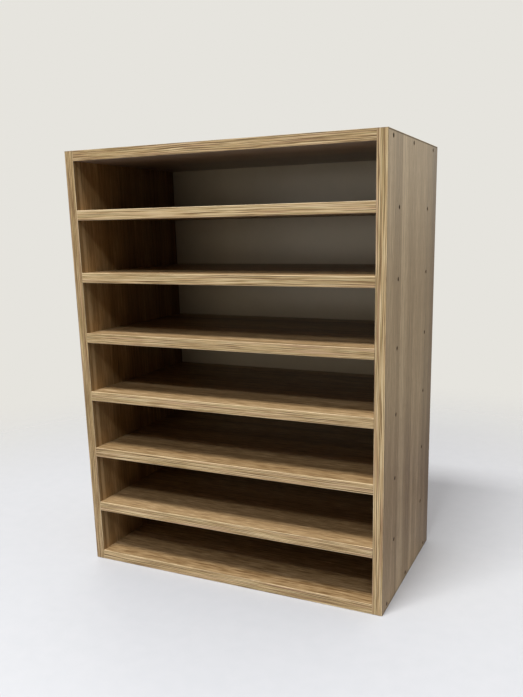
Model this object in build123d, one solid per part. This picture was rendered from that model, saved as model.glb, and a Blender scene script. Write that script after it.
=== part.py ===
from build123d import *

import os

# A free-standing rack with seven open slots. Two full-height side panels carry a top panel, a bottom panel
# and six fixed shelves between them, and a thin back panel closes the rear.
# Origin: the middle of the footprint on the resting surface. +X is right, +Y is to the rear, +Z is up.

# Driving dimensions, in millimetres.
CLEAR_WIDTH = 500.0  # between the side panels
HEIGHT = 700.0
BOARD_DEPTH = 290.0  # front face of the edge band to the boards' rear edges
BOARD = 16.0  # thickness of every board
SHELF_COUNT = 6
SHELF_PITCH = 100.0  # height of the first shelf's middle, and from one shelf's middle to the next

BACK = 3.0  # thickness of the back panel
BACK_INSET = 1.0  # how far the back panel's edges stand in from the carcass

BAND = 1.0  # thickness of the edge bands
BAND_EASE = 0.6  # radius worked along a band's outer edges

SCREW_LENGTH = 40.0
SCREW_RADIUS = 1.75
SCREW_HEAD_RADIUS = 3.25
SCREW_TIP = 4.0
SCREW_SINK = 0.4  # how far a screw's head lies below the side's face
RECESS_SPAN = 3.4  # the cross-shaped driver recess, tip to tip
RECESS_WIDTH = 0.9
RECESS_DEPTH = 1.6
END_SCREW_SETBACKS = (25.0, 135.0, 260.0)  # from the front, in the top and bottom panels
SHELF_SCREW_SETBACKS = (60.0, 230.0)  # from the front, in each shelf

NAIL_LENGTH = 20.0
NAIL_RADIUS = 0.8
NAIL_HEAD_RADIUS = 1.7
NAIL_HEAD = 0.8  # thickness of the head, which is driven flush
NAIL_TIP = 2.0
NAIL_PITCH = 100.0
END_NAILS = 5  # along the top panel and along the bottom panel
SHELF_NAIL_REACH = 125.0  # each shelf has a nail this far either side of the middle

# Derived sizes and places.
WIDTH = CLEAR_WIDTH + 2 * BOARD
DEPTH = BOARD_DEPTH + BACK
INNER_X = CLEAR_WIDTH / 2
OUTER_X = WIDTH / 2
SIDE_MIDDLE_X = INNER_X + BOARD / 2
FRONT = -DEPTH / 2
CORE_FRONT = FRONT + BAND
CORE_REAR = FRONT + BOARD_DEPTH
REAR = DEPTH / 2

TOP_MIDDLE_Z = HEIGHT - BOARD / 2
BOTTOM_MIDDLE_Z = BOARD / 2
SHELF_MIDDLES = [SHELF_PITCH * (n + 1) for n in range(SHELF_COUNT)]
SLOT_MIDDLES = [SHELF_PITCH * (n + 0.5) for n in range(SHELF_COUNT + 1)]

SIDES = {"left": -1, "right": 1}


def block(x_range, y_range, z_range):
    """A rectangular solid between two limits on each axis."""
    spans = (x_range, y_range, z_range)
    sizes = [high - low for low, high in spans]
    middles = [(low + high) / 2 for low, high in spans]
    return Pos(*middles) * Box(*sizes)


def turned(points):
    """A solid of revolution about Z from the half outline that the points give in the XZ plane."""
    outline = Plane.XZ * make_face(Polyline(*points, close=True))
    return revolve(outline, Axis.Z)


def across_between(middle_z):
    """The x and z limits of a board that lies between the sides."""
    return (-INNER_X, INNER_X), (middle_z - BOARD / 2, middle_z + BOARD / 2)


# Fasteners. Each is made point down, with the top of its head at the origin.


def screw_body():
    """A countersunk screw's outer shape, which is also the shape of its hole."""
    cone_end = SCREW_RADIUS - SCREW_HEAD_RADIUS
    return turned(
        [
            (0, 0),
            (SCREW_HEAD_RADIUS, 0),
            (SCREW_RADIUS, cone_end),
            (SCREW_RADIUS, SCREW_TIP - SCREW_LENGTH),
            (0, -SCREW_LENGTH),
        ]
    )


def screw():
    """A countersunk screw with a cross recess in its head."""
    slot = Pos(0, 0, -RECESS_DEPTH / 2) * Box(RECESS_SPAN, RECESS_WIDTH, RECESS_DEPTH)
    return screw_body() - slot - Rot(0, 0, 90) * slot


def screw_hole():
    """A countersunk hole that lets the head lie below the face."""
    mouth = Pos(0, 0, SCREW_SINK / 2) * Cylinder(SCREW_HEAD_RADIUS, SCREW_SINK)
    return screw_body() + mouth


def nail():
    """A flat-head nail, which is also the shape of its hole."""
    return turned(
        [
            (0, 0),
            (NAIL_HEAD_RADIUS, 0),
            (NAIL_HEAD_RADIUS, -NAIL_HEAD),
            (NAIL_RADIUS, -NAIL_HEAD),
            (NAIL_RADIUS, NAIL_TIP - NAIL_LENGTH),
            (0, -NAIL_LENGTH),
        ]
    )


# Where the fasteners go.


def screw_places(side, middle_z, setbacks):
    """Head positions of the screws through one side into the end of one board, heads facing out."""
    head_x = side * (OUTER_X - SCREW_SINK)
    return [Pos(head_x, FRONT + setback, middle_z) * Rot(0, 90 * side, 0) for setback in setbacks]


def board_screws(side):
    """Every screw position on one side, from the bottom panel to the top panel."""
    places = screw_places(side, BOTTOM_MIDDLE_Z, END_SCREW_SETBACKS)
    for middle_z in SHELF_MIDDLES:
        places += screw_places(side, middle_z, SHELF_SCREW_SETBACKS)
    return places + screw_places(side, TOP_MIDDLE_Z, END_SCREW_SETBACKS)


def nail_place(x, z):
    """One nail in the back panel, with its head flush at the rear."""
    return Pos(x, REAR, z) * Rot(-90, 0, 0)


def end_nails(middle_z):
    """The row of nails into the rear edge of the top or bottom panel."""
    first_x = -NAIL_PITCH * (END_NAILS - 1) / 2
    return [nail_place(first_x + NAIL_PITCH * n, middle_z) for n in range(END_NAILS)]


def shelf_nails(middle_z):
    """The two nails into the rear edge of a shelf."""
    return [nail_place(x, middle_z) for x in (-SHELF_NAIL_REACH, SHELF_NAIL_REACH)]


def side_nails(side):
    """The column of nails into the rear edge of one side panel, one at the middle of each slot."""
    return [nail_place(side * SIDE_MIDDLE_X, z) for z in SLOT_MIDDLES]


def drilled(board, hole, places):
    """A board with the same hole cut at each place."""
    for place in places:
        board -= place * hole
    return board


# Boards and bands.


def side_panel(side):
    """A full-height side panel, drilled for its screws and nails. Its ends stop short of the top band."""
    inner, outer = side * INNER_X, side * OUTER_X
    core = block(sorted((inner, outer)), (CORE_FRONT, CORE_REAR), (0, HEIGHT - BAND))
    core = drilled(core, screw_hole(), board_screws(side))
    return drilled(core, nail(), side_nails(side))


def cross_panel(middle_z, setbacks, nails):
    """A board between the sides, with pilot holes in both ends and in its rear edge."""
    x_range, z_range = across_between(middle_z)
    core = block(x_range, (CORE_FRONT, CORE_REAR), z_range)
    for side in SIDES.values():
        core = drilled(core, screw_body(), screw_places(side, middle_z, setbacks))
    return drilled(core, nail(), nails)


def side_front_band(side):
    """The band up the whole front edge of a side, eased all round its front face."""
    x_range = sorted((side * INNER_X, side * OUTER_X))
    strip = block(x_range, (FRONT, CORE_FRONT), (0, HEIGHT))
    front_face = strip.faces().sort_by(Axis.Y)[0]
    return fillet(front_face.edges(), BAND_EASE)


def side_top_band(side):
    """The band along the top end of a side, behind its front band, eased along both long edges."""
    x_range = sorted((side * INNER_X, side * OUTER_X))
    strip = block(x_range, (CORE_FRONT, CORE_REAR), (HEIGHT - BAND, HEIGHT))
    top_face = strip.faces().sort_by(Axis.Z)[-1]
    return fillet(top_face.edges().filter_by(Axis.Y), BAND_EASE)


def cross_front_band(middle_z):
    """The band along the front edge of a board between the sides, eased along both long edges."""
    x_range, z_range = across_between(middle_z)
    strip = block(x_range, (FRONT, CORE_FRONT), z_range)
    front_face = strip.faces().sort_by(Axis.Y)[0]
    return fillet(front_face.edges().filter_by(Axis.X), BAND_EASE)


def back_nails():
    """Every nail position in the back panel."""
    places = end_nails(BOTTOM_MIDDLE_Z) + end_nails(TOP_MIDDLE_Z)
    for middle_z in SHELF_MIDDLES:
        places += shelf_nails(middle_z)
    for side in SIDES.values():
        places += side_nails(side)
    return places


def back_panel():
    """The thin panel over the boards' rear edges, drilled for its nails."""
    reach = OUTER_X - BACK_INSET
    sheet = block((-reach, reach), (CORE_REAR, REAR), (BACK_INSET, HEIGHT - BACK_INSET))
    return drilled(sheet, nail(), back_nails())


def copies(piece, places):
    """Separate copies of one piece, as a group."""
    return Compound(children=[place * piece for place in places])


def all_parts():
    """Every node of the rack by name."""
    parts = {}
    for name, side in SIDES.items():
        parts[f"{name}_side_panel"] = side_panel(side)
        parts[f"{name}_side_front_band"] = side_front_band(side)
        parts[f"{name}_side_top_band"] = side_top_band(side)
        parts[f"{name}_side_screws"] = copies(screw(), board_screws(side))

    for name, middle_z in (("top", TOP_MIDDLE_Z), ("bottom", BOTTOM_MIDDLE_Z)):
        parts[f"{name}_panel"] = cross_panel(middle_z, END_SCREW_SETBACKS, end_nails(middle_z))
        parts[f"{name}_front_band"] = cross_front_band(middle_z)

    for number, middle_z in enumerate(SHELF_MIDDLES, start=1):
        parts[f"shelf_{number}"] = cross_panel(middle_z, SHELF_SCREW_SETBACKS, shelf_nails(middle_z))
        parts[f"shelf_{number}_front_band"] = cross_front_band(middle_z)

    parts["back_panel"] = back_panel()
    parts["back_panel_nails"] = copies(nail(), back_nails())
    return parts


os.makedirs("parts", exist_ok=True)
for node, shape in all_parts().items():
    shape.label = node
    export_step(shape, f"parts/{node}.step")
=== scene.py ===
import math
from typing import NamedTuple

import bpy
from mathutils import Matrix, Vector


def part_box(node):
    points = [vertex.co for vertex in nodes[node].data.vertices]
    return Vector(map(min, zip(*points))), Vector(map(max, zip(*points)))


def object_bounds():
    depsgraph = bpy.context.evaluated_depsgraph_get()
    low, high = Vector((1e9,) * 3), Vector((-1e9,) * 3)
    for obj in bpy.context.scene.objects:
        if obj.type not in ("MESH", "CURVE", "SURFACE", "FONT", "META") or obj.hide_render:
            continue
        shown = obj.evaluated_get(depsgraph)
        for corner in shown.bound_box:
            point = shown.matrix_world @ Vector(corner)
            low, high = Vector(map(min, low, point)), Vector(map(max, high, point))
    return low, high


# A seven-slot woodgrain rack on a pale floor. Every shape is the CAD's own; this script gives each node its
# material, and adds the floor, the light and the camera.
# All lengths are in metres. +X is to the right as seen from the open front, +Y is to the rear and +Z is up.

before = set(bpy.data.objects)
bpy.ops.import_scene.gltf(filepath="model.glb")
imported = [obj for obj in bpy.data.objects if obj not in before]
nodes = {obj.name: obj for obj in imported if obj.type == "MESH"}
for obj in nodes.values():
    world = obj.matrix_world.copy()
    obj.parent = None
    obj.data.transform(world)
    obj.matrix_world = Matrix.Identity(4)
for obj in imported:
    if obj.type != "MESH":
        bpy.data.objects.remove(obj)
cad_low, cad_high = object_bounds()

MM = 0.001
TURN = 2 * math.pi
X, Y, Z = range(3)


# Camera ---------------------------------------------------------------------------------------------------

CAMERA_PLACE = (0.539, -1.0935, 0.577)
CAMERA_YAW = math.radians(-24.55)  # to the left of straight ahead
CAMERA_PITCH = math.radians(-12.75)
CAMERA_ROLL = math.radians(-1.11)
CAMERA_SENSOR, CAMERA_LENS = 36.0, 36.91  # millimetres
CAMERA_SHIFT = (-0.0285, 0.0566)
CAMERA_CLIP = (0.01, 50.0)


def add_camera():
    """The camera, turned by its yaw, pitch and roll."""
    data = bpy.data.cameras.new("camera")
    data.sensor_width = CAMERA_SENSOR
    data.lens = CAMERA_LENS
    data.shift_x, data.shift_y = CAMERA_SHIFT
    data.clip_start, data.clip_end = CAMERA_CLIP
    turn = (
        Matrix.Rotation(-CAMERA_YAW, 4, "Z")
        @ Matrix.Rotation(math.pi / 2 + CAMERA_PITCH, 4, "X")
        @ Matrix.Rotation(CAMERA_ROLL, 4, "Z")
    )
    camera = bpy.data.objects.new("camera", data)
    camera.matrix_world = Matrix.Translation(CAMERA_PLACE) @ turn
    bpy.context.scene.collection.objects.link(camera)
    bpy.context.scene.camera = camera


# Node building blocks -------------------------------------------------------------------------------------

SQUARE = 0.7  # a face counts as square to an axis when its normal's part along the axis is more than this


class Streaks(NamedTuple):
    """One kind of noise drawn out along the grain."""

    along: float  # cells a metre along the grain
    across: float  # cells a metre across it
    detail: float
    roughness: float
    shift: float  # keeps one kind from lining up with another


class Tree:
    """A node tree, with short calls for the nodes that the world and the materials share."""

    def __init__(self, tree):
        self.tree = tree

    def add(self, kind, *values, **settings):
        """A new node with its settings made and its first inputs filled."""
        node = self.tree.nodes.new(kind)
        for key, value in settings.items():
            setattr(node, key, value)
        for socket, value in zip(node.inputs, values):
            self.plug(value, socket)
        return node

    def plug(self, value, socket):
        """Links another node's output to a socket, or writes a plain value there."""
        if isinstance(value, bpy.types.NodeSocket):
            self.tree.links.new(value, socket)
        else:
            socket.default_value = value

    def math(self, operation, *values):
        return self.add("ShaderNodeMath", *values, operation=operation).outputs[0]

    def plus(self, first, second):
        return self.math("ADD", first, second)

    def minus(self, first, second):
        return self.math("SUBTRACT", first, second)

    def times(self, first, second):
        return self.math("MULTIPLY", first, second)

    def most(self, first, second):
        return self.math("MAXIMUM", first, second)

    def scaled(self, value, factor, offset):
        """Value times factor, plus offset."""
        return self.math("MULTIPLY_ADD", value, factor, offset)

    def vector(self, x, y, z):
        return self.add("ShaderNodeCombineXYZ", x, y, z).outputs[0]

    def parts(self, vector):
        """A vector's x, y and z."""
        return self.add("ShaderNodeSeparateXYZ", vector).outputs

    def remap(self, value, low, high, to_low=0.0, to_high=1.0):
        """Value from low..high to to_low..to_high, eased at both ends and clamped."""
        limits = (low, high, to_low, to_high)
        return self.add("ShaderNodeMapRange", value, *limits, interpolation_type="SMOOTHSTEP").outputs[0]

    def mix(self, factor, first, second, blend="MIX"):
        """A mix of two colours."""
        node = self.add("ShaderNodeMix", data_type="RGBA", blend_type=blend)
        self.plug(factor, node.inputs["Factor"])
        colours = [socket for socket in node.inputs if socket.type == "RGBA"]
        self.plug(first, colours[0])
        self.plug(second, colours[1])
        return next(socket for socket in node.outputs if socket.type == "RGBA")


class Material(Tree):
    """A new material's node tree, with the object's own coordinates and the way each face looks."""

    def __init__(self, name):
        self.material = bpy.data.materials.new(name)
        self.material.use_nodes = True
        super().__init__(self.material.node_tree)
        self.shader = self.tree.nodes["Principled BSDF"]
        self.spot = self.add("ShaderNodeTexCoord").outputs["Object"]
        self.place = self.parts(self.spot)
        self.facing = self.parts(self.add("ShaderNodeNewGeometry").outputs["Normal"])

    def put(self, name, value):
        """Links or writes one of the shader's inputs."""
        self.plug(value, self.shader.inputs[name])

    def noise(self, vector, detail, roughness=0.5, scale=1.0):
        """Noise from 0 to 1 about 0.5, with its scale in cells a metre."""
        node = self.add("ShaderNodeTexNoise", noise_dimensions="3D")
        settings = {"Vector": vector, "Scale": scale, "Detail": detail, "Roughness": roughness}
        for name, value in settings.items():
            self.plug(value, node.inputs[name])
        return node.outputs["Fac"]

    def streaks(self, u, v, seed, kind):
        """Noise of one kind, drawn out along u."""
        along, across = self.times(u, kind.along), self.times(v, kind.across)
        stretched = self.vector(along, across, self.plus(seed, kind.shift))
        return self.noise(stretched, kind.detail, kind.roughness)

    def layered(self, start, layers):
        """A start value with each layer's swing about 0.5 added at its own strength."""
        total = start
        for layer, strength in layers:
            total = self.scaled(self.minus(layer, 0.5), strength, total)
        return total

    def ramp(self, value, stops):
        """A colour ramp through (position, colour) stops."""
        node = self.add("ShaderNodeValToRGB", value)
        elements = node.color_ramp.elements
        elements[0].position, elements[0].color = stops[0]
        elements[1].position, elements[1].color = stops[-1]
        for position, colour in stops[1:-1]:
            elements.new(position).color = colour
        return node.outputs["Color"]

    def bump(self, height, depth):
        """Presses a height from 0 to 1 into the shader's normal, depth metres deep."""
        node = self.add("ShaderNodeBump")
        node.inputs["Strength"].default_value = 1.0
        node.inputs["Distance"].default_value = depth
        self.plug(height, node.inputs["Height"])
        self.put("Normal", node.outputs[0])

    def faces_along(self, axis):
        """1 on faces square to an axis, 0 on the others."""
        return self.math("GREATER_THAN", self.math("ABSOLUTE", self.facing[axis]), SQUARE)

    def faces_down(self, axis):
        """1 on faces that look down an axis, 0 on the others."""
        return self.math("LESS_THAN", self.facing[axis], -SQUARE)

    def near(self, axis, position, reach):
        """1 at a position along an axis, fading to 0 at reach from it."""
        distance = self.math("ABSOLUTE", self.minus(self.place[axis], position))
        return self.remap(distance, 0.0, reach, 1.0, 0.0)


def rgb(red, green, blue):
    """A linear colour from display values out of 255."""

    def linear(value):
        value /= 255
        return value / 12.92 if value <= 0.04045 else ((value + 0.055) / 1.055) ** 2.4

    return (linear(red), linear(green), linear(blue), 1.0)


# Boards ---------------------------------------------------------------------------------------------------

OAK_STOPS = (
    (0.00, rgb(114, 86, 54)),
    (0.25, rgb(143, 114, 76)),
    (0.50, rgb(166, 137, 97)),
    (0.75, rgb(184, 154, 113)),
    (1.00, rgb(212, 185, 144)),
)
OAK_PORE = rgb(104, 78, 52)
REAR_PAINTED_SHADE = rgb(124, 88, 50)  # painted shade, darkening the sides toward their rear edges
# A painted reflection that greys the top panel's underside.
UNDERSIDE_REFLECTION_GREY = rgb(182, 172, 170)
# Glue lines, and painted shade along the sides' rear edges and feet.
GLUE_AND_SHADE_LINE = rgb(88, 70, 52)

# The grain's layers. Figure, ribbon and fibre swing the tone alike on every board, the flecks' swing is the
# board's own ticks, and pores are dark spots laid over the rest.
FIGURE = Streaks(0.9, 26.0, 1.0, 0.4, 0.0)
RIBBON = Streaks(3.5, 170.0, 2.0, 0.55, 7.3)
FIBRE = Streaks(14.0, 900.0, 2.0, 0.6, 13.9)
PORE = Streaks(55.0, 1900.0, 1.0, 0.5, 23.1)
FLECK = Streaks(36.0, 460.0, 2.0, 0.6, 31.7)
FIGURE_SWING, RIBBON_SWING, FIBRE_SWING = 0.9, 0.75, 0.7
PORE_RANGE, PORE_STRENGTH = (0.60, 0.72), 0.45
PORE_ROUGHNESS, FIBRE_ROUGHNESS = 0.3, 0.12  # how much each adds to the facing's
PORE_DEPTH, FIBRE_HEIGHT = 0.8, 0.35  # parts of the relief: pores sink and fibres rise
GRAIN_WAVES = (3.0, 9.0)  # cells a metre along the grain and across it, of its slow sway
GRAIN_SWAY = 4 * MM
GRAIN_DEPTH = 61.0  # how fast the grain changes through a board, so its two faces differ
# How far from the sides' rear edges the painted shade reaches, and how strong it is.
REAR_SHADE_REACH, REAR_SHADE_STRENGTH = 34 * MM, 0.50
UNDERSIDE_REFLECTION_STRENGTH, GLUE_AND_SHADE_STRENGTH = 0.55, 0.75
# How far the glue line shows from a side's top edge, how far glue and painted shade show from its rear
# edge, and how far and how faint the painted contact shade is at its foot.
TOP_GLUE, REAR_GLUE_AND_SHADE, FOOT_SHADE, FOOT_SHADE_STRENGTH = 2.6 * MM, 4.0 * MM, 7 * MM, 0.6

CHIPS = 420.0  # wood particles a metre
CHIP_PALE, CHIP_MIDDLE, CHIP_DARK = rgb(200, 170, 124), rgb(150, 116, 78), rgb(110, 82, 52)
DUST = (3.0, 0.6, 2.0)  # detail, roughness, and cells to a particle
DUST_RANGE, DUST_STRENGTH = (0.5, 0.75), 0.6
FACING_ROUGHNESS, RAW_ROUGHNESS = 0.27, 0.85
BOARD_RELIEF = 0.06 * MM


class Board(NamedTuple):
    """How one board's facing differs from the next."""

    ticks: float  # strength of its short dark flecks
    lift: float = 0.0  # how much paler the whole board is
    gloss: float = 0.5  # specular level
    tint: tuple = ()  # a colour that multiplies the facing's; the left side's is painted shade
    underside: tuple = ()  # a colour painted on its underside as a greying reflection
    stripes: tuple = ()  # soft streaks: position across, reach in front, reach behind, strength


# The left side's tint is painted shade: the warmer, deeper colour of its shaded inner face, given to the
# whole board.
LEFT_SIDE = Board(
    ticks=0.8,
    lift=0.07,
    gloss=0.15,
    tint=(1.0, 0.95, 0.84, 1.0),
    stripes=(
        (-0.1400, 0.003, 0.003, -0.25),
        (-0.1340, 0.004, 0.005, 0.75),
        (-0.1040, 0.018, 0.022, 0.24),
    ),
)
RIGHT_SIDE = Board(
    ticks=0.8,
    stripes=(
        (-0.1345, 0.025, 0.050, 0.45),
        (-0.0680, 0.008, 0.090, 0.50),
        (0.0090, 0.006, 0.080, 0.28),
        # This last streak is painted shade, darkening the board toward its rear edge.
        (0.1365, 0.045, 0.012, -0.18),
    ),
)
TOP = Board(ticks=0.9, underside=UNDERSIDE_REFLECTION_GREY)
SHELF = Board(ticks=1.9, lift=-0.06, gloss=0.15)


def board_material(name, node, axes, seed, board):
    """Satin oak woodgrain facing on a particle-board core."""
    along, across, layer = axes
    surface = Material(name)
    is_side = layer == X
    u, v = surface.place[along], surface.place[across]
    waves = surface.vector(surface.times(u, GRAIN_WAVES[0]), surface.times(v, GRAIN_WAVES[1]), seed)
    v = surface.scaled(surface.minus(surface.noise(waves, detail=1.0), 0.5), GRAIN_SWAY, v)
    depth = surface.scaled(surface.place[layer], GRAIN_DEPTH, seed)
    fibre = surface.streaks(u, v, depth, FIBRE)
    layers = [
        (surface.streaks(u, v, depth, FIGURE), FIGURE_SWING),
        (surface.streaks(u, v, depth, RIBBON), RIBBON_SWING),
        (fibre, FIBRE_SWING),
        (surface.streaks(u, v, depth, FLECK), board.ticks),
    ]
    tone = surface.layered(0.5 + board.lift, layers)
    tone = with_stripes(surface, tone, surface.place[across], board.stripes)
    pores = surface.remap(surface.streaks(u, v, depth, PORE), *PORE_RANGE, 0.0, PORE_STRENGTH)

    facing = surface.mix(pores, surface.ramp(tone, OAK_STOPS), OAK_PORE)
    # A board's tint; on the left side it is painted shade.
    if board.tint:
        facing = surface.mix(1.0, facing, board.tint, "MULTIPLY")
    if is_side:
        glue_and_shade = glue_and_shade_lines(surface, node)
        # Painted shade: the sides darken toward their rear edges.
        rear = surface.near(Y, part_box(node)[1][Y], REAR_SHADE_REACH)
        facing = surface.mix(surface.times(rear, REAR_SHADE_STRENGTH), facing, REAR_PAINTED_SHADE)
        # Glue lines, and painted shade at the sides' rear edges and feet.
        facing = surface.mix(surface.times(glue_and_shade, GLUE_AND_SHADE_STRENGTH), facing, GLUE_AND_SHADE_LINE)
    # Painted reflection: the top panel's underside is greyed.
    if board.underside:
        facing = surface.mix(surface.times(surface.faces_down(Z), UNDERSIDE_REFLECTION_STRENGTH), facing, board.underside)

    core, core_height = particle_core(surface, seed)
    is_facing = surface.faces_along(layer)
    surface.put("Base Color", surface.mix(is_facing, core, facing))
    surface.put("Specular IOR Level", board.gloss)

    satin = surface.scaled(pores, PORE_ROUGHNESS, surface.scaled(fibre, FIBRE_ROUGHNESS, FACING_ROUGHNESS))
    rough = surface.remap(is_facing, 0.0, 1.0, RAW_ROUGHNESS, 0.0)
    if is_side:
        rough = surface.most(rough, surface.times(glue_and_shade, RAW_ROUGHNESS))
    surface.put("Roughness", surface.most(satin, rough))

    grain_height = surface.minus(surface.times(fibre, FIBRE_HEIGHT), surface.times(pores, PORE_DEPTH))
    edge_height = surface.times(core_height, surface.minus(1.0, is_facing))
    surface.bump(surface.plus(grain_height, edge_height), BOARD_RELIEF)
    return surface.material


def with_stripes(surface, tone, across, stripes):
    """The tone with soft streaks added along the grain."""
    for position, ahead, behind, strength in stripes:
        offset = surface.minus(across, position)
        rise = surface.remap(offset, -ahead, 0.0)
        fall = surface.remap(offset, 0.0, behind, 1.0, 0.0)
        tone = surface.scaled(surface.times(rise, fall), strength, tone)
    return tone


def glue_and_shade_lines(surface, node):
    """Lines on a side: glue under its top band, glue and painted shade along its rear edge, and faint
    painted contact shade at its foot.
    """
    low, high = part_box(node)
    lines = surface.most(surface.near(Z, high[Z], TOP_GLUE), surface.near(Y, high[Y], REAR_GLUE_AND_SHADE))
    foot_shade = surface.times(surface.near(Z, low[Z], FOOT_SHADE), FOOT_SHADE_STRENGTH)
    return surface.most(lines, foot_shade)


def particle_core(surface, seed):
    """Pressed wood particles for a board's raw edges: colour and height."""
    spread = surface.vector(
        surface.scaled(surface.place[X], CHIPS, seed),
        surface.times(surface.place[Y], CHIPS),
        surface.times(surface.place[Z], CHIPS),
    )
    chips = surface.add("ShaderNodeTexVoronoi", spread, feature="F1")
    shade = surface.add("ShaderNodeSeparateColor", chips.outputs["Color"]).outputs[0]
    colour = surface.mix(shade, CHIP_MIDDLE, CHIP_PALE)
    dust = surface.noise(spread, *DUST)
    return surface.mix(surface.remap(dust, *DUST_RANGE, 0.0, DUST_STRENGTH), colour, CHIP_DARK), dust


# Edge bands -----------------------------------------------------------------------------------------------

BAND_STOPS = (
    (0.00, rgb(110, 82, 50)),
    (0.25, rgb(161, 130, 86)),
    (0.50, rgb(200, 168, 119)),
    (0.75, rgb(224, 195, 146)),
    (1.00, rgb(240, 218, 172)),
)
BAND_PINK = rgb(196, 156, 124)
BAND_OLIVE = rgb(166, 146, 96)
# Painted highlights for the lines along the bands' edges, and a dark colour for cut edges and the top
# band's upper edge.
BAND_HIGHLIGHT, BAND_SOFT_HIGHLIGHT, BAND_DARK = rgb(236, 212, 168), rgb(214, 188, 156), rgb(112, 92, 70)

DRIFT = Streaks(9.0, 240.0, 2.0, 0.55, 21.4)
BAND_RIBBON = Streaks(9.0, 1150.0, 1.0, 0.5, 3.0)
THREAD = Streaks(22.0, 2200.0, 2.0, 0.55, 9.0)
BLUSH = Streaks(9.0, 260.0, 2.0, 0.55, 33.0)
LINE_SWING, BAND_RIBBON_SWING, THREAD_SWING = 0.48, 2.3, 2.2
LINE_PITCH = 2.7 * MM
BAND_SWAY = 2 * MM
UPRIGHT_WAVES, LEVEL_WAVES = 26.0, 9.0  # cells a metre of the streaks' sway
PINK_RANGE, PINK_STRENGTH = (0.52, 0.72), 0.55
OLIVE_RANGE, OLIVE_STRENGTH = (0.48, 0.30), 0.45
EDGE_REACH = 1.3 * MM  # of the painted highlight line along each of a band's edges, dark on the top band's upper edge
EDGE_PATCHES = 40.0  # cells a metre of the breaks in those lines
PATCH_RANGE, PATCH_STRENGTHS = (0.35, 0.65), (0.35, 0.9)
CUT_REACH, CUT_STRENGTH = 1.6 * MM, 0.8  # of the dark on cut edges and top ends
BAND_ROUGHNESS, THREAD_ROUGHNESS = 0.42, 0.2  # the second is how much the threads add
BAND_RELIEF = 0.05 * MM

# The middle of the bands' tone, and how much paler or darker some of them run; the left stile's darker run
# is painted shade.
BAND_TONE = 0.48
BAND_LIFTS_AND_SHADE = {
    "bottom_front_band": -0.10,
    "shelf_1_front_band": -0.02,
    "shelf_2_front_band": -0.01,
    "shelf_3_front_band": 0.04,
    "shelf_5_front_band": 0.02,
    "shelf_6_front_band": 0.12,
    "top_front_band": -0.08,
    # painted shade: less light falls on the left stile than on the right one
    "left_side_front_band": -0.15,
    "right_side_front_band": -0.02,
}


def band_material(name, node, axes, seed):
    """Streaky oak edge band, with a painted highlight line along each of its long edges; the top band's
    upper line is dark.
    """
    along, across, layer = axes
    surface = Material(name)
    low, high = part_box(node)
    u, v = surface.place[along], surface.place[across]
    waves = UPRIGHT_WAVES if along == Z else LEVEL_WAVES
    sway = surface.noise(surface.vector(surface.times(u, waves), seed, 0.0), detail=2.0)
    v = surface.scaled(surface.minus(sway, 0.5), BAND_SWAY, v)

    drift = surface.times(surface.streaks(u, v, seed, DRIFT), 2 * TURN)
    lines = surface.math("SINE", surface.scaled(v, TURN / LINE_PITCH, drift))
    lines = surface.scaled(lines, 0.5, 0.5)
    ribbons = surface.streaks(u, v, seed, BAND_RIBBON)
    threads = surface.streaks(u, v, seed, THREAD)
    layers = [(lines, LINE_SWING), (ribbons, BAND_RIBBON_SWING), (threads, THREAD_SWING)]
    colour = surface.ramp(surface.layered(BAND_TONE + BAND_LIFTS_AND_SHADE.get(node, 0.0), layers), BAND_STOPS)
    blush = surface.streaks(u, v, seed, BLUSH)
    colour = surface.mix(surface.remap(blush, *PINK_RANGE, 0.0, PINK_STRENGTH), colour, BAND_PINK)
    colour = surface.mix(surface.remap(blush, *OLIVE_RANGE, 0.0, OLIVE_STRENGTH), colour, BAND_OLIVE)

    patches = surface.noise(surface.vector(surface.times(u, EDGE_PATCHES), seed, 0.0), detail=2.0)
    patches = surface.remap(patches, *PATCH_RANGE, *PATCH_STRENGTHS)
    upper, lower = (BAND_DARK, BAND_HIGHLIGHT) if node == "top_front_band" else (BAND_HIGHLIGHT, BAND_SOFT_HIGHLIGHT)
    # Painted highlight lines along the edges; the top band's upper line is dark instead.
    for edge, shade in ((high, upper), (low, lower)):
        line = surface.times(surface.near(across, edge[across], EDGE_REACH), patches)
        colour = surface.mix(line, colour, shade)
    if Z in (along, layer):  # the sides' bands show their cut edges, and the upright ones their top ends
        dark = surface.minus(1.0, surface.faces_along(layer))
        if along == Z:
            dark = surface.most(dark, surface.near(Z, high[Z], CUT_REACH))
        colour = surface.mix(surface.times(dark, CUT_STRENGTH), colour, BAND_DARK)

    surface.put("Base Color", colour)
    surface.put("Roughness", surface.scaled(threads, THREAD_ROUGHNESS, BAND_ROUGHNESS))
    surface.bump(surface.layered(0.5, [(threads, 0.5), (ribbons, 0.5)]), BAND_RELIEF)
    return surface.material


# Back panel and fasteners ---------------------------------------------------------------------------------

# Noises as detail, roughness, and cells a metre.
MOTTLE, SPECK, FIBRES, CLOUDS = (3.0, 0.55, 30.0), (2.0, 0.5, 900.0), (4.0, 0.7, 260.0), (3.0, 0.6, 9.0)
TARNISH, PITS = (3.0, 0.6, 700.0), (3.0, 0.6, 2500.0)
CLOUD_SWING = 0.25

BACK_WHITES = rgb(214, 202, 177), rgb(226, 214, 190)
BACK_BROWNS = rgb(104, 75, 50), rgb(156, 119, 82)
MESH_BROWN = rgb(68, 48, 32)
BROWN_RANGE = (0.3, 0.7)
MESH_PITCH, MESH_STRENGTH = 1.6 * MM, 0.25
WHITE_ROUGHNESS, BROWN_ROUGHNESS, MOTTLE_ROUGHNESS = 0.18, 0.72, 0.1  # the last is how much the mottle adds
SPECK_HEIGHT = 0.12  # part of the relief
BACK_RELIEF = 0.12 * MM

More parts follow.
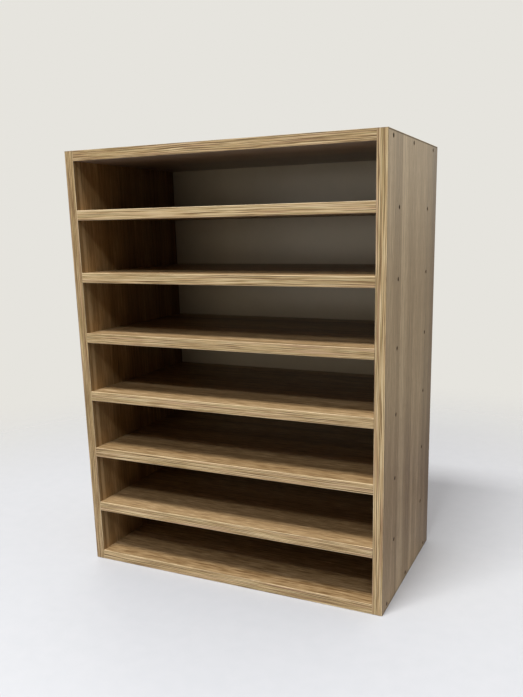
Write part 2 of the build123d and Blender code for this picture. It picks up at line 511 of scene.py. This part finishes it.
SCREW_STEEL = rgb(26, 16, 8), rgb(52, 36, 22)
NAIL_STEEL = rgb(150, 148, 142), rgb(190, 188, 182)
TARNISH_RANGE, TARNISH_ROUGHNESS = (0.35, 0.65), 0.2  # the second is how much the tarnish adds
METAL_RELIEF = 0.03 * MM


def back_material(name):
    """Hardboard: a smooth off-white face to the slots, and raw brown board with a pressed mesh behind."""
    surface = Material(name)
    is_front = surface.faces_down(Y)
    mottle = surface.noise(surface.spot, *MOTTLE)
    fibres = surface.layered(
        surface.noise(surface.spot, *FIBRES), [(surface.noise(surface.spot, *CLOUDS), CLOUD_SWING)]
    )

    ribs = [surface.math("SINE", surface.times(surface.place[axis], TURN / MESH_PITCH)) for axis in (X, Z)]
    mesh = surface.scaled(surface.most(*ribs), 0.5, 0.5)
    brown = surface.mix(surface.remap(fibres, *BROWN_RANGE), *BACK_BROWNS)
    brown = surface.mix(surface.times(mesh, MESH_STRENGTH), brown, MESH_BROWN)
    surface.put("Base Color", surface.mix(is_front, brown, surface.mix(mottle, *BACK_WHITES)))

    rough = surface.remap(is_front, 0.0, 1.0, BROWN_ROUGHNESS, WHITE_ROUGHNESS)
    surface.put("Roughness", surface.scaled(mottle, MOTTLE_ROUGHNESS, rough))
    rear_height = surface.times(mesh, surface.minus(1.0, is_front))
    specks = surface.noise(surface.spot, *SPECK)
    surface.bump(surface.scaled(specks, SPECK_HEIGHT, rear_height), BACK_RELIEF)
    return surface.material


def metal_material(name, colours, metallic, roughness):
    """Bare or blackened steel with patchy tarnish."""
    surface = Material(name)
    patch = surface.noise(surface.spot, *TARNISH)
    surface.put("Base Color", surface.mix(surface.remap(patch, *TARNISH_RANGE), *colours))
    surface.put("Metallic", metallic)
    surface.put("Roughness", surface.scaled(patch, TARNISH_ROUGHNESS, roughness))
    surface.bump(surface.noise(surface.spot, *PITS), METAL_RELIEF)
    return surface.material


# The rack -------------------------------------------------------------------------------------------------

SHELF_COUNT = 6
UPRIGHT_BOARD, LEVEL_BOARD = (Z, Y, X), (X, Y, Z)  # along the grain, across it, and through the board
LEFT_SEED, RIGHT_SEED, TOP_SEED, SHELF_SEED_STEP = 3.1, 17.7, 29.3, 11.7
BAND_SEED, BAND_SEED_STEP = 131.7, 9.3


def paint(node, material):
    """Gives a CAD node's object one material."""
    piece = nodes[node]
    piece.data.materials.clear()
    piece.data.materials.append(material)


def band_axes(node):
    """Along a band, across it, and through it."""
    if node.endswith("side_top_band"):
        return (Y, X, Z)
    if node.endswith("side_front_band"):
        return (Z, X, Y)
    return (X, Z, Y)


def paint_rack():
    """Every node's material. The grain runs up the sides and along the boards between them."""
    for node, name, axes, seed, board in (
        ("left_side_panel", "left_side_oak", UPRIGHT_BOARD, LEFT_SEED, LEFT_SIDE),
        ("right_side_panel", "right_side_oak", UPRIGHT_BOARD, RIGHT_SEED, RIGHT_SIDE),
        ("top_panel", "top_oak", LEVEL_BOARD, TOP_SEED, TOP),
    ):
        paint(node, board_material(name, node, axes, seed, board))

    shelves = [f"shelf_{number}" for number in range(1, SHELF_COUNT + 1)]
    for number, node in enumerate(["bottom_panel", *shelves], start=1):
        seed = TOP_SEED + SHELF_SEED_STEP * number
        paint(node, board_material(f"{node}_oak", node, LEVEL_BOARD, seed, SHELF))

    bands = sorted(name for name in nodes if name.endswith("band"))
    for number, node in enumerate(bands):
        seed = BAND_SEED + BAND_SEED_STEP * number
        paint(node, band_material(f"{node}_oak", node, band_axes(node), seed))

    paint("back_panel", back_material("white_faced_hardboard"))
    black = metal_material("black_screw_steel", SCREW_STEEL, metallic=0.1, roughness=0.75)
    paint("left_side_screws", black)
    paint("right_side_screws", black)
    paint("back_panel_nails", metal_material("bright_nail_steel", NAIL_STEEL, metallic=0.9, roughness=0.3))


# Studio ---------------------------------------------------------------------------------------------------

FLOOR_REACH = 6.0
FLOOR_HEIGHT = -0.2 * MM  # just clear of the rack's underside
FLOOR_RIM = 2 * MM  # how far the floor runs in under the rack
FLOOR_FADE = (0.55, 1.5)  # distance from the rack's middle over which the floor gives way to the background
FLOOR_GREYS = rgb(199, 201, 203), rgb(205, 206, 208)
FLOOR_ROUGHNESS = 0.5
FLOOR_MOTTLE = (2.0, 0.5, 40.0)  # detail, roughness, and cells a metre
# How much light the floor throws back at the rack: on the counter about its foot, and elsewhere.
COUNTER_BOUNCE = (0.275, 0.285, 0.31, 1.0)
FLOOR_BOUNCE = (0.06, 0.07, 0.11, 1.0)
COUNTER_SIDE, COUNTER_FRONT = (0.29, 0.36), (-0.75, -0.45)  # where the counter ends, in x and in y

BACKGROUND = rgb(230, 228, 222)
# Even light by where it comes from: the open side in front, the wall side behind, and overhead.
FRONT_LIGHT = (0.03, 0.03, 0.03, 1.0)
REAR_LIGHT = (1.00, 0.94, 0.80, 1.0)
LOW_REAR_LIGHT = (0.42, 0.395, 0.34, 1.0)
OVERHEAD_LIGHT = (0.45, 0.465, 0.57, 1.0)
# The parts of a direction over which one light gives way to the next.
FRONT_TO_REAR, LOW_TO_LEVEL, LEVEL_TO_OVERHEAD = (-0.2, 0.35), (-0.10, 0.15), (0.4, 0.9)

WHITE, CREAM, WARM = (1.0, 1.0, 1.0), (1.0, 0.97, 0.86), (1.0, 0.93, 0.80)
# Soft panels: middle, size, turn about X and Z in degrees, radiance, and colour.
PANELS = (
    ((-0.25, -1.62, 4.00), (1.4, 0.70), (0, 0), 54.0, WHITE),
    ((0.80, -3.80, 4.00), (3.0, 0.70), (0, 0), 14.5, WHITE),
    ((-0.65, -2.50, 0.50), (1.1, 0.9), (90, -15), 1.4, WARM),
    ((1.65, 0.40, 0.90), (1.2, 1.0), (90, 90), 0.70, CREAM),
)


def add_floor():
    """A pale floor that gives way to the background away from the rack."""
    mesh = bpy.data.meshes.new("floor")
    near, far = -FLOOR_REACH, FLOOR_REACH
    corners = [(x, y, FLOOR_HEIGHT) for x, y in ((near, near), (far, near), (far, far), (near, far))]
    mesh.from_pydata(corners, [], [(0, 1, 2, 3)])
    floor = bpy.data.objects.new("floor", mesh)
    bpy.context.scene.collection.objects.link(floor)

    surface = Material("pale_floor")
    pale = surface.mix(surface.noise(surface.spot, *FLOOR_MOTTLE), *FLOOR_GREYS)
    inside = surface.remap(surface.place[X], *COUNTER_SIDE, 1.0, 0.0)
    behind = surface.remap(surface.place[Y], *COUNTER_FRONT)
    bounce = surface.mix(surface.times(inside, behind), FLOOR_BOUNCE, COUNTER_BOUNCE)
    seen = surface.add("ShaderNodeLightPath").outputs["Is Camera Ray"]
    surface.put("Base Color", surface.mix(seen, bounce, pale))
    surface.put("Roughness", FLOOR_ROUGHNESS)

    squares = [surface.math("POWER", surface.place[axis], 2.0) for axis in (X, Y)]
    away = surface.remap(surface.math("SQRT", surface.plus(*squares)), *FLOOR_FADE)
    below = surface.add("ShaderNodeNewGeometry").outputs["Backfacing"]
    offsets = [surface.math("ABSOLUTE", surface.place[axis]) for axis in (X, Y)]
    limits = [cad_high[axis] - FLOOR_RIM for axis in (X, Y)]
    covered = [surface.math("LESS_THAN", offset, limit) for offset, limit in zip(offsets, limits)]
    gone = surface.most(away, surface.most(below, surface.times(*covered)))
    clear = surface.add("ShaderNodeBsdfTransparent").outputs[0]
    blend = surface.add("ShaderNodeMixShader", gone, surface.shader.outputs[0], clear)
    surface.plug(blend.outputs[0], surface.tree.nodes["Material Output"].inputs["Surface"])
    mesh.materials.append(surface.material)


def add_world():
    """A pale background to look at, and an even light that is dim in front and bright behind and above."""
    world = bpy.data.worlds.new("studio")
    bpy.context.scene.world = world
    world.use_nodes = True
    sky = Tree(world.node_tree)
    direction = sky.parts(sky.add("ShaderNodeTexCoord").outputs["Generated"])
    rear = sky.mix(sky.remap(direction[Z], *LOW_TO_LEVEL), LOW_REAR_LIGHT, REAR_LIGHT)
    around = sky.mix(sky.remap(direction[Y], *FRONT_TO_REAR), FRONT_LIGHT, rear)
    even = sky.mix(sky.remap(direction[Z], *LEVEL_TO_OVERHEAD), around, OVERHEAD_LIGHT)
    seen = sky.add("ShaderNodeLightPath").outputs["Is Camera Ray"]
    sky.plug(sky.mix(seen, even, BACKGROUND), sky.tree.nodes["Background"].inputs["Color"])


def add_panel(number, place, size, turn, radiance, colour):
    """A soft panel; with no turn it shines straight down."""
    data = bpy.data.lights.new(f"panel_{number}", "AREA")
    data.shape = "RECTANGLE"
    data.size, data.size_y = size
    data.energy = radiance * math.pi * size[0] * size[1]
    data.color = colour
    panel = bpy.data.objects.new(f"panel_{number}", data)
    panel.location = place
    panel.rotation_euler = (math.radians(turn[0]), 0.0, math.radians(turn[1]))
    panel.visible_camera = False
    bpy.context.scene.collection.objects.link(panel)


bpy.context.scene.view_settings.view_transform = "Standard"
add_camera()
paint_rack()
add_floor()
add_world()
for number, panel in enumerate(PANELS, start=1):
    add_panel(number, *panel)
